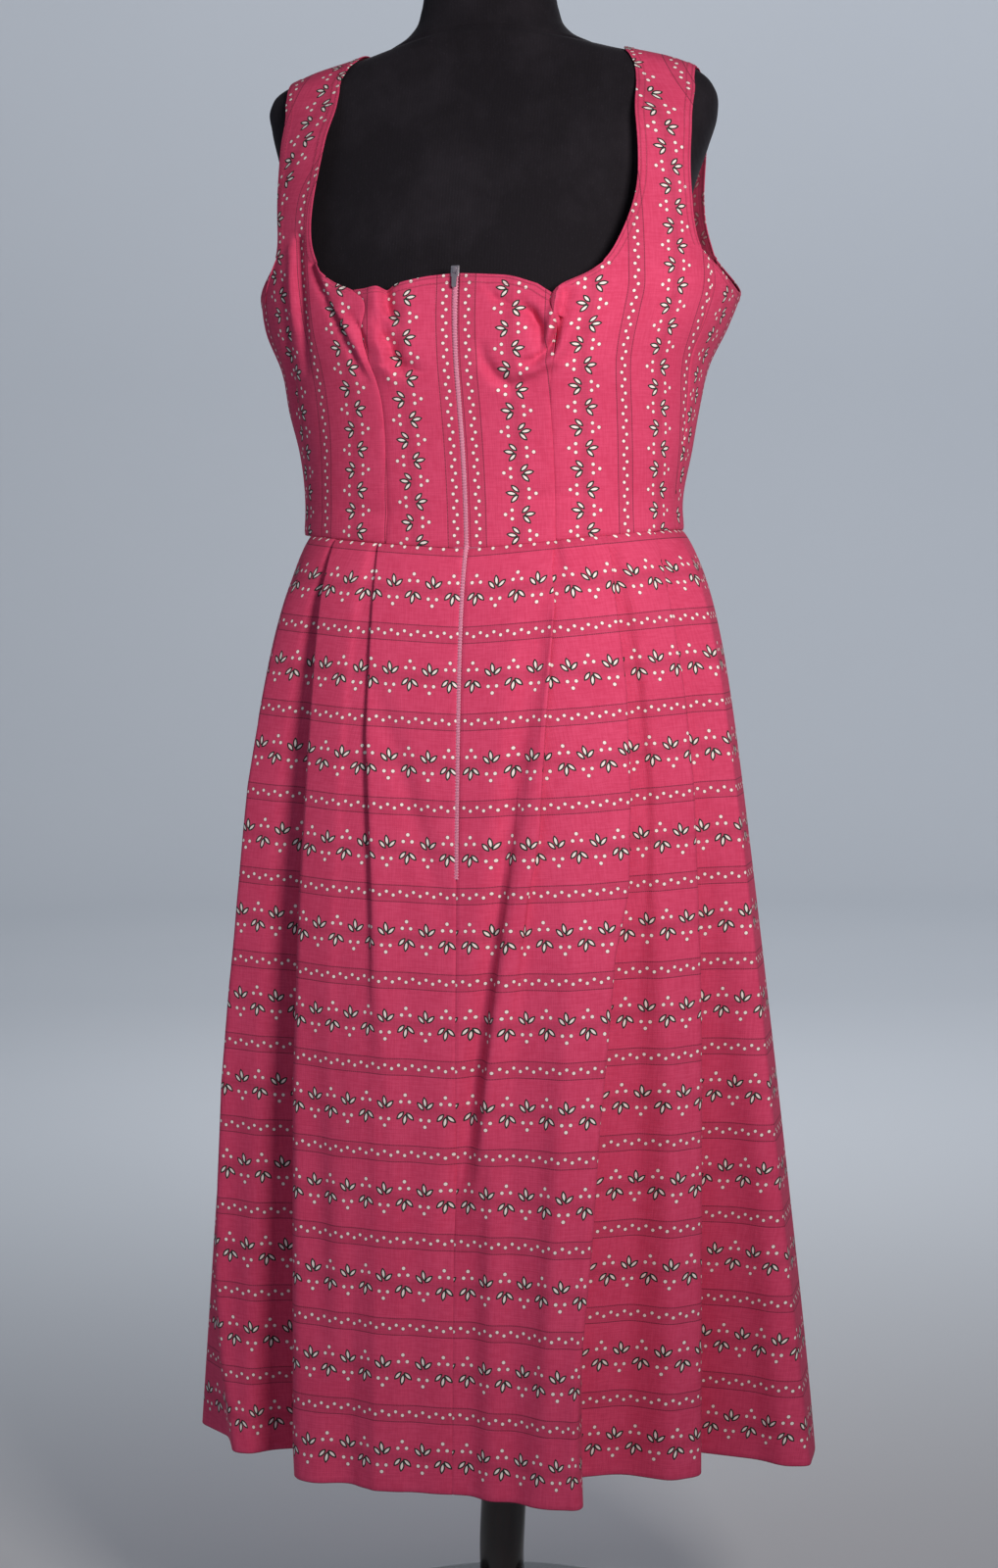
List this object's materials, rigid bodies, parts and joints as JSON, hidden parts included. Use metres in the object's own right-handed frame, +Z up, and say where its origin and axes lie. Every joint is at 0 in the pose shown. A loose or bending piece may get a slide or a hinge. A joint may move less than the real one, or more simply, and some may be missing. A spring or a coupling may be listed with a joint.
{
  "type": "dirndl dress on a dress form with stand",
  "caption": "Sleeveless pleated midi dirndl with a front zip, worn by a limbless dress form on a twisted pole with a round foot.",
  "frame": {"origin": "on the floor under the pole, at the middle of the foot's underside", "axes": "+Z up along the pole, -Y towards the front of the dress, +X to the viewer's right"},
  "size_m": [0.5542, 0.3937, 1.53],
  "materials": {
    "cloth": "rose-red printed cotton, matt",
    "zip": "woven mauve tape with a plastic coil",
    "zip_metal": "silvery slider and tab",
    "form": "smooth black jersey cover",
    "stand": "near-black gloss varnish"
  },
  "bodies": {
    "root": {"front_centre_left": "cloth", "front_centre_right": "cloth", "front_side_left": "cloth", "front_side_right": "cloth", "side_panel_left": "cloth", "side_panel_right": "cloth", "back_centre": "cloth", "back_side_left": "cloth", "back_side_right": "cloth", "skirt_front_left": "cloth", "skirt_front_right": "cloth", "skirt_back": "cloth", "zip_tape": "zip", "zip_slider": "zip_metal", "form_torso": "form", "stand_pole": "stand", "stand_foot": "stand"},
    "pull_tab": {"zip_pull_tab": "zip_metal"}
  },
  "joints": [
    {"name": "pull_tab_hinge", "type": "hinge", "parent": "root", "child": "pull_tab", "pos_m": [0.005, -0.14035, 1.22159], "axis": [-1, 0, 0], "range_deg": [0, 150]}
  ]
}
